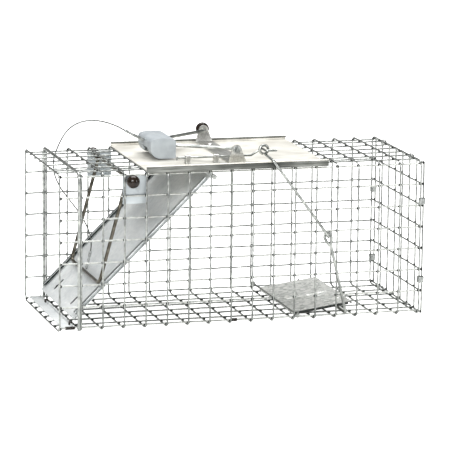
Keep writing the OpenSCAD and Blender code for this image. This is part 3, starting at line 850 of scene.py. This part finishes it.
# Painted shade: the troughs take the dark zinc that stands for the shade inside them
finish_piece(joined(troughs), "slot_troughs", painted_shade_zinc, "door")
roll = strip(arc(0, 0, 2.1 * MM, 100, -205, 28), -half_door, half_door, door_t)
lip_profile = [(door_len - 0.6 * MM, 0.2 * MM)]
lip_profile += arc(door_len - 1.4 * MM, -1.2 * MM, 1.1 * MM, 60, -90, 8) + [(door_len - 8 * MM, -2.3 * MM)]
half_lip = half_door - 3 * MM
lip = strip(lip_profile, -half_lip, half_lip, 0.8 * MM)
smooth(door)
door = joined([door, roll, lip])
door.data.transform(door_space)
finish_piece(door, "door_sheet", door_sheet, "door", ("door_panel",))

# %% [markdown]
# ### The door's channels
# The two long edges are folded up and over the outer face, which makes them channels that open inwards. Seen
# from outside, each shows as a bright line with a dark gap beside it, so the inner face of each wall gets
# a painted shade, the dark zinc.

# %% Door channels
channels = []
wall = 0.8 * MM
channel_w = 6 * MM
channel_low, channel_high = 0.9 * MM, 4.1 * MM
channel_start, channel_end = 7 * MM, door_len - 6 * MM
for side in (-1, 1):
    edge = side * (half_door - wall / 2)
    inner = side * (half_door - channel_w + wall / 2)
    profile = [(inner, channel_low), (edge - side * 1.0 * MM, channel_low), (edge, channel_low + 1.0 * MM),
               (edge, channel_high - 1.0 * MM), (edge - side * 0.3 * MM, channel_high - 0.3 * MM),
               (edge - side * 1.0 * MM, channel_high), (inner, channel_high),
               (inner, channel_high - 0.5 * MM)]
    channel = strip(profile, channel_start, channel_end, wall)
    channel.data.transform(swap_xy)
    channel.data.transform(door_space)
    outward(channel)
    channels.append(channel)
channels = finish_piece(joined(channels), "door_channels", channel_sheet, "door",
                        ("door_edge_channels",))
# Painted shade: the inner faces of the channel walls take the dark zinc
channels.data.materials.append(painted_shade_zinc)
for face in channels.data.polygons:
    inward = face.normal.y * face.center.y < 0 and abs(face.normal.y) > 0.7
    face.material_index = int(inward and abs(face.center.y) > half_door - 2 * MM)

# %% [markdown]
# ## The lock bail
# A rod bent to a U hangs from the pivot rod and lies on the door's outer face, so that the animal can't lift
# the door. Each leg ends in an eye round the pivot rod, drawn as two turns of thinner wire.

# %% Bail
bail_r = 2 * MM
bail_pivot = Vector((back(84), 0, 173.2 * MM))
BAIL_SLOPE = math.radians(75)
bail_down = Vector((-math.cos(BAIL_SLOPE), 0, -math.sin(BAIL_SLOPE)))
bail_foot = bail_pivot + bail_down * 126.4 * MM
half_bail = Vector((0, 70 * MM, 0))
bail_head = bail_pivot + bail_down * 3.4 * MM
bail_corners = [bail_head - half_bail, bail_foot - half_bail, bail_foot + half_bail, bail_head + half_bail]
bail_route = rounded(bail_corners, 8 * MM, 8)
bail_parts = [wire_mesh([bail_route], bail_r, 16)]
for side in (-1, 1):
    eye = [ring(bail_pivot + half_bail * side + Vector((0, shift * MM, 0)), 3.1 * MM, 0, 346, 24)
           for shift in (-1.1, 1.1)]
    bail_parts.append(wire_mesh(eye, 1.05 * MM, 10))
finish_piece(joined(bail_parts), "bail_wire", bail_plating, "bail", ("lock_bail",))
rod_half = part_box("bail_pivot_rod")[1].y
rod_route = [(bail_pivot.x, rod_half * part, bail_pivot.z) for part in (-1, -1 / 3, 1 / 3, 1)]
finish_piece(wire_mesh([rod_route], bail_r, 16), "bail_rod", bail_plating, "bail",
             ("bail_pivot_rod",))

# %% [markdown]
# ### Ball caps
# Each cap is made as on a lathe: half of its outline is drawn once and spun about the rod's axis. A ball's
# outline has a flat mouth where the rod goes in. The handle's cap is a short cylinder under a dome.

# %% Caps by spinning an outline
def turned(outline, place, side):
    """Spins an outline of (radius, distance along Y) points about the Y axis, at a place."""
    steps = 40
    deselect()
    bpy.ops.mesh.primitive_plane_add(size=1)
    piece = bpy.context.object
    shape = bmesh.new()
    row = [shape.verts.new((r, side * y, 0)) for r, y in outline]
    edges = [shape.edges.new(pair) for pair in zip(row, row[1:])]
    bmesh.ops.spin(shape, geom=row + edges, cent=(0, 0, 0), axis=(0, 1, 0), angle=math.tau, steps=steps)
    shape.to_mesh(piece.data)
    shape.free()
    outward(piece)
    piece.data.transform(Matrix.Translation(place))
    smooth(piece)
    return piece


ball_r = 7.6 * MM
bore_r = 2.6 * MM
ball_y = rod_half
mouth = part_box("far_bail_cap")[0].y - ball_y
mouth_angle = math.degrees(math.asin(mouth / ball_r))
ball = [(0, mouth), (bore_r, mouth), (ball_r * math.cos(math.radians(mouth_angle)) - 0.5 * MM, mouth)]
ball += arc(0, 0, ball_r, mouth_angle + 3, 90, 18)[:-1] + [(0, ball_r)]
for side, label in ((-1, "near"), (1, "far")):
    finish_piece(turned(ball, (bail_pivot.x, side * ball_y, bail_pivot.z), side), f"{label}_ball_cap",
                 cap_plastic, "bail", (f"{label}_bail_cap",))
pivot = Vector((back(214), 0, 201 * MM))
cap_low, cap_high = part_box("handle_pivot_cap")
cap_depth = cap_high.y - cap_low.y
cap_r, dome_start = 8 * MM, 4.6 * MM
dome = [(0, 0), (6.8 * MM, 0), (7.5 * MM, 0.6 * MM), (cap_r, 2 * MM), (cap_r, dome_start)]
dome += [(cap_r * math.cos(a), dome_start + (cap_depth - dome_start) * math.sin(a))
         for a in (math.radians(15 * i) for i in range(1, 6))] + [(0, cap_depth)]
finish_piece(turned(dome, (pivot.x, cap_low.y, pivot.z), 1), "handle_ball_cap", cap_plastic, "handle",
             ("handle_pivot_cap",))

# %% [markdown]
# ## The guard plate
# The plate keeps a hand away from the animal. Its two long edges stand up and end in a rolled hem, so that no
# raw edge is left, and the near edge also hangs a little way down outside the wall. A sheet this thin is
# never dead flat, so it gets a very slight buckle. The far hem and the outer face of the hanging band take a
# darker zinc, a painted shade.

# %% Guard plate
plate_low, plate_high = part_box("top_plate")
sheet_t = 1.0 * MM
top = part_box("handle_bracket")[0].z - 0.02 * MM
middle_z = top - sheet_t / 2
hem_r, curl_r, fold_r = 1.2 * MM, 0.7 * MM, 1.4 * MM
hem_z = plate_high.z - hem_r
near_y, far_y = plate_low.y + sheet_t / 2, plate_high.y - sheet_t / 2
columns = 40
flat_w = far_y - near_y - 2 * fold_r
profile = [(near_y + fold_r + flat_w * i / columns, middle_z) for i in range(columns)]
profile += arc(far_y - fold_r, middle_z + fold_r, fold_r, -90, 0, 5)[:-1]
profile += arc(far_y - curl_r, hem_z, curl_r, 0, 290, 12)
plate = strip(profile, plate_low.x, plate_high.x, sheet_t, 48)
# While it is swept along Y, the plate's width lies along X
buckle, buckle_along, buckle_across = 0.3 * MM, 31 * MM, 27 * MM
for v in plate.data.vertices:
    inside = max(0.0, min(v.co.x - near_y, far_y - v.co.x)) / (far_y - near_y)
    if abs(v.co.z - middle_z) < sheet_t:
        wave = math.sin(v.co.y / buckle_along) * math.cos(v.co.x / buckle_across)
        v.co.z -= buckle * inside * (1 + wave)
near_fold = [(near_y + 0.3 * MM, plate_low.z + 0.9 * MM), (near_y, plate_low.z + 0.6 * MM),
             (near_y, middle_z)]
near_fold += arc(near_y + curl_r, hem_z, curl_r, 180, -110, 12)
fold = strip(near_fold, plate_low.x, plate_high.x, sheet_t * 0.9, 12)
plate = joined([plate, fold])
plate.data.transform(swap_xy)
outward(plate)
finish_piece(plate, "guard_plate", plate_sheet, "root", ("top_plate",))
# Painted shade: the far hem and the outer face of the near band take the darker zinc
plate.data.materials.append(hem_painted_shade)
near_edge, far_edge = near_y + 0.1 * MM, far_y - 2.2 * MM
for face in plate.data.polygons:
    rolled = face.center.z > hem_z - 1.0 * MM and face.center.y > far_edge
    outside = face.center.y < near_edge and face.center.z < hem_z - 0.2 * MM
    face.material_index = int(rolled or outside)

# %% [markdown]
# ## The handle
# The handle is a U of wire whose legs spread from the grip to the two ears of the strap on the roof. It is
# one route with six corners, and its ends turn outwards through the ears.

# %% Handle wire
bow_r = 2 * MM
cross_x, cross_z = back(138), 201 * MM
bracket_low, bracket_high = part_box("handle_bracket")
ear_near, ear_far = bracket_low.y + 0.8 * MM, bracket_high.y - 0.8 * MM
handle_route = rounded([
    (pivot.x, ear_far + 7 * MM, pivot.z), (pivot.x, ear_far - 7 * MM, pivot.z),
    (cross_x + 12 * MM, 24 * MM, cross_z), (cross_x, 21 * MM, cross_z),
    (cross_x, -21 * MM, cross_z), (cross_x + 12 * MM, -24 * MM, cross_z),
    (pivot.x, ear_near + 7 * MM, pivot.z), (pivot.x, ear_near - 6 * MM, pivot.z)], 2.5 * MM, 6)
finish_piece(wire_mesh([handle_route], bow_r, 16), "handle_bow", plated_wire, "handle",
             ("handle_wire",))

# %% [markdown]
# ### The grip
# The grip is a hollow moulding that snaps over the wire: a block with a big soft lower front corner, open
# underneath, with an arch in its front wall for the finger tips. The design has the shape already, and a
# wider bevel gives it the soft edges of a moulding.

# %% Grip
finish_piece(refine("grip", 0.9, 3, 40), "moulded_grip", grip_plastic, "handle", ("grip",))

# %% [markdown]
# ## The trigger
# Stepping on the treadle pushes the cranked arm down, the arm swings its upper eye, and the connecting rod
# slides the trip rod along the plate. All are light and loose, with generous eyes. Each is one bent wire,
# and an eye is simply more points on the same route.

# %% Trigger arm
arm_r = 1.7 * MM
arm_x, arm_z, arm_y = back(341), 7.4 * MM, -94.6 * MM
arm_eye = Vector((back(318), arm_y, 99 * MM))
heel = Vector((arm_x, arm_y, arm_z))
rise = (arm_eye - heel).normalized()
crank_x, crank_z = arm_x - 14.5 * MM, arm_z + 4.5 * MM
aside = Vector((rise.z, 0, -rise.x))
rod_bend = 3 * MM
arm_route = rounded([
    arm_eye - rise * 11 * MM + aside * MM, heel, (arm_x, -55 * MM, arm_z), (crank_x, -48 * MM, crank_z),
    (crank_x, 40 * MM, crank_z), (arm_x, 47 * MM, arm_z), (arm_x, ring_y + 3 * MM, arm_z)], rod_bend, 6)
# The eye is long and narrow, bent over the rod's end: (along the arm, aside) in millimetres
eye_points = [(-11.5, 0), (-8, -1.8), (-4, -3.6), (0, -4.3), (3.2, -3.4), (5, -0.6), (4.6, 2), (2.4, 3.6),
              (-2, 3.7), (-7, 2.4)]
arm_loop = [arm_eye + (rise * u + aside * w) * MM for u, w in eye_points] + arm_route
finish_piece(wire_mesh([arm_loop], arm_r, 12), "cranked_arm", plated_wire, "arm",
             ("trigger_arm",))

# %% [markdown]
# ### The connecting rod and the trip rod
# The connecting rod hooks into the arm's eye, climbs past the edge of the plate and ends in a round eye on
# the trip rod. The trip rod lies in its two saddles, with its front end turned aside and its rear end raised
# into a crank that holds the eye.

# %% Connecting rod and trip rod
link_r, trip_r = 1.6 * MM, 1.3 * MM
link_y = -99.2 * MM
link_eye = Vector((back(247), -68 * MM, 199.5 * MM))
low_pin = Vector((arm_eye.x, link_y, arm_eye.z))
link_bend = Vector((back(249.5), link_y, 191.3 * MM))
eye_start = link_eye + Vector((1.6, -2, -5.6)) * MM
link_route = rounded([(low_pin.x, arm_y + 2.4 * MM, low_pin.z), low_pin, link_bend, eye_start], rod_bend, 6)
link_loop = link_route + ring(link_eye, 5 * MM, -74, 262, 24)
finish_piece(wire_mesh([link_loop], link_r, 12), "link_rod", plated_wire, "link",
             ("connecting_rod",))

trip_y, trip_z = -60 * MM, 192 * MM
trip_end_y = -77 * MM
trip_route = rounded([
    (back(143), trip_y - 8 * MM, trip_z), (back(145), trip_y, trip_z), (back(234), trip_y, trip_z),
    (link_eye.x, trip_y, link_eye.z), (link_eye.x, trip_end_y, link_eye.z),
    (back(260), trip_end_y, link_eye.z)], rod_bend, 6)
finish_piece(wire_mesh([trip_route], trip_r, 12), "sliding_trip_rod", plated_wire, "trip",
             ("trip_rod",))

# %% [markdown]
# ### Treadle
# The treadle is a spangled sheet with its front edge rolled on the hinge rod, a lip at its free edge, two
# slots and a shallow bead pressed along its middle, so that it doesn't flex. A narrow strip hangs below its
# near edge and stands in for the shadow there: its outer face takes the dark zinc, a painted shade.

# %% Treadle plate
treadle_axis = Vector((back(283), 0, 6.76 * MM))
TREADLE_RISE = math.radians(7.9)
tread_x = Vector((math.cos(TREADLE_RISE), 0, math.sin(TREADLE_RISE)))
tread_z = Vector((-math.sin(TREADLE_RISE), 0, math.cos(TREADLE_RISE)))
tread_space = Matrix(((tread_x.x, 0, tread_z.x, treadle_axis.x), (0, 1, 0, 0),
                      (tread_x.z, 0, tread_z.z, treadle_axis.z), (0, 0, 0, 1)))
tread_len = 70 * MM
tread_y0, tread_y1 = -82 * MM, 60 * MM
tread_t = 0.75 * MM
fold_t = 0.7 * MM
bead_shift, bead_depth = 6 * MM, 1.1 * MM
deselect()
bpy.ops.mesh.primitive_grid_add(x_subdivisions=56, y_subdivisions=110, size=1)
tread = bpy.context.object
middle = (tread_y0 + tread_y1) / 2
for v in tread.data.vertices:
    x = (v.co.x + 0.5) * tread_len
    y = v.co.y * (tread_y1 - tread_y0) + middle
    bead = (1 - ease(abs(y - middle + bead_shift) / MM, 1.0, 3.6)) * within(x / MM, 6, 64, 6)
    v.co = (x, y, 1.95 * MM - bead_depth * bead)
thickness = tread.modifiers.new("sheet", "SOLIDIFY")
thickness.thickness = tread_t
thickness.offset = -1
bpy.ops.object.modifier_apply(modifier=thickness.name)
tread_slot_size = (2.4 * MM, 11 * MM, 8 * MM)
tread_slot_x = 62 * MM
cut(tread, [cutter(tread_slot_size, (tread_slot_x, y, 0), 1.1 * MM) for y in (-52 * MM, 30 * MM)])
smooth(tread)
tread_roll = strip(arc(0, 0, 1.7 * MM, 95, -200, 22), tread_y0, tread_y1, fold_t)
lip_x = tread_len - 0.3 * MM
tread_lip = strip([(lip_x, 1.6 * MM), (lip_x, -1.4 * MM)], tread_y0, tread_y1, fold_t)
# The roll is cut away near its middle, which leaves two knuckles
knuckle_gap = (8 * MM, 12 * MM, 8 * MM)
cut(tread_roll, [cutter(knuckle_gap, (0, -16 * MM, 0), 0.5 * MM)])
# Painted shade: this strip below the near edge stands in for the shadow under it
shade_flange_h = 2.6 * MM
shade_flange = strip([(5 * MM, 0.2 * MM), (66 * MM, 0.2 * MM)], tread_y0 + 0.3 * MM, tread_y0 + 1.1 * MM,
               shade_flange_h, 1)
treadle = joined([tread, tread_roll, tread_lip, shade_flange])
treadle.data.transform(tread_space)
finish_piece(treadle, "treadle_sheet", spangle, "treadle", ("treadle_plate",))
# Painted shade: the strip's outer face takes the dark zinc
treadle.data.materials.append(painted_shade_zinc)
for face in treadle.data.polygons:
    face.material_index = int(face.normal.y < -0.7 and face.center.y < tread_y0 + 0.6 * MM)

# %% [markdown]
# ## The set cable
# A thin stranded cable runs from the grip, over the front of the roof, down through a cell of the mesh and
# on to the bail. The object holds it at both ends, so it is no loose cord. Its strands are six wires that
# wind round a common line.

# %% Cable routes, the same points as the design's
outer_points = [(98, 216.5), (89, 221.5), (79, 225.5), (70, 228), (61, 229.2), (52, 229), (44, 227.2),
                (37, 224), (31, 219.5), (26, 213.5), (21.5, 206), (17.5, 197), (14.8, 189), (13.5, 183)]
inner_points = [(13.5, 183), (13.5, 176), (15, 167), (18.5, 158), (23.5, 149), (30, 140), (37, 131),
                (43.5, 122), (49.5, 112), (54.5, 102), (57.5, 92), (58.5, 83), (57.8, 75)]


def route(points):
    """Turns (back from the entrance, up) in millimetres into places on the middle plane."""
    return [Vector((back(x), 0, z * MM)) for x, z in points]


def smooth_line(points, step):
    """Evenly spaced points on a smooth line through the given ones (Catmull-Rom)."""
    padded = [2 * points[0] - points[1]] + points + [2 * points[-1] - points[-2]]
    fine = []
    for a, b, c, d in zip(padded, padded[1:], padded[2:], padded[3:]):
        for i in range(12):
            t = i / 12
            fine.append(0.5 * (2 * b + (c - a) * t + (2 * a - 5 * b + 4 * c - d) * t * t
                               + (3 * b - 3 * c + d - a) * t ** 3))
    fine.append(points[-1])
    out, gone = [fine[0]], 0.0
    for a, b in zip(fine, fine[1:]):
        length = (b - a).length
        while gone + length >= step:
            a = a.lerp(b, (step - gone) / length)
            length = (b - a).length
            gone = 0.0
            out.append(a)
        gone += length
    return out + [fine[-1]]


STEP = 0.7 * MM


def stranded(points, cable_r):
    """Six strands wound round a route, plus the core. Each strand goes once round in lay."""
    lay = 9.0 * MM
    line = smooth_line(points, STEP)
    strand_r = cable_r / 3
    strands = [line]
    for k in range(6):
        wound = []
        for i, place in enumerate(line):
            ahead = (line[min(i + 1, len(line) - 1)] - line[max(i - 1, 0)]).normalized()
            side = Vector((0, 1, 0))
            over = ahead.cross(side)
            angle = math.tau * (k / 6 + i * STEP / lay)
            wound.append(place + (cable_r - strand_r) * (math.cos(angle) * side + math.sin(angle) * over))
        strands.append(wound)
    return wire_mesh(strands, strand_r, 6)


def cable_length(points):
    """Length of the smooth line through the points, in metres."""
    line = smooth_line(points, STEP)
    return sum((b - a).length for a, b in zip(line, line[1:]))


outer, inner = route(outer_points), route(inner_points)
print("cable:", round((cable_length(outer) + cable_length(inner)) / MM), "mm")
cable_radius = 0.8 * MM
for line, name, node, ends in ((outer, "cable_over_roof", "set_cable_outer", ("handle", "root")),
                               (inner, "cable_to_bail", "set_cable_inner", ("root", "bail"))):
    piece = stranded(line, cable_radius)
    deselect()
    piece.name = piece.data.name = name
    piece.data.materials.clear()
    piece.data.materials.append(cable_steel)
    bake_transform(piece)
    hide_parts(node)

# %% [markdown]
# ### Crimps
# A crimp starts as a smooth tube and is squeezed in a few places, which leaves waists and shoulders. The
# wire helper takes a thickness at every point, so a crimp is a short thick wire whose thickness varies.

# %% Crimp sleeves
def crimped(points, radius, squeezes):
    """A sleeve along points, waisted at each squeeze (0 to 1 along it) and tapered at both ends."""
    waist_depth, end_size = 0.22, 0.72
    line = smooth_line(points, 0.5 * MM)
    last = len(line) - 1
    route_with_waists = []
    for i, place in enumerate(line):
        t = i / last
        waist = sum(waist_depth * (1 - ease(abs(t - s), 0.02, 0.08)) for s in squeezes)
        taper = end_size + (1 - end_size) * ease(min(t, 1 - t), 0.0, 0.06)
        route_with_waists.append((place, taper - waist))
    return wire_mesh([route_with_waists], radius, 14)


sleeve_r = 1.7 * MM
grip_sleeve_points = route([(98, 216.5), (109, 210.5), (117, 206.5), (121.8, 204.5)])
finish_piece(crimped(grip_sleeve_points, sleeve_r, (0.2, 0.36)), "grip_crimp", sleeve_metal, "handle",
             ("grip_cable_sleeve",))
sleeve_foot = bail_pivot + bail_down * 124.3 * MM
bail_sleeve_points = [sleeve_foot + Vector((0.4, 0, 0.9)) * MM, sleeve_foot + Vector((3, 0, 9)) * MM,
                      inner[-1]]
finish_piece(crimped(bail_sleeve_points, sleeve_r, (0.4, 0.62)), "bail_crimp", sleeve_metal, "bail",
             ("bail_cable_sleeve",))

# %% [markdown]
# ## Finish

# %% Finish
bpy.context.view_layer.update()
deselect()
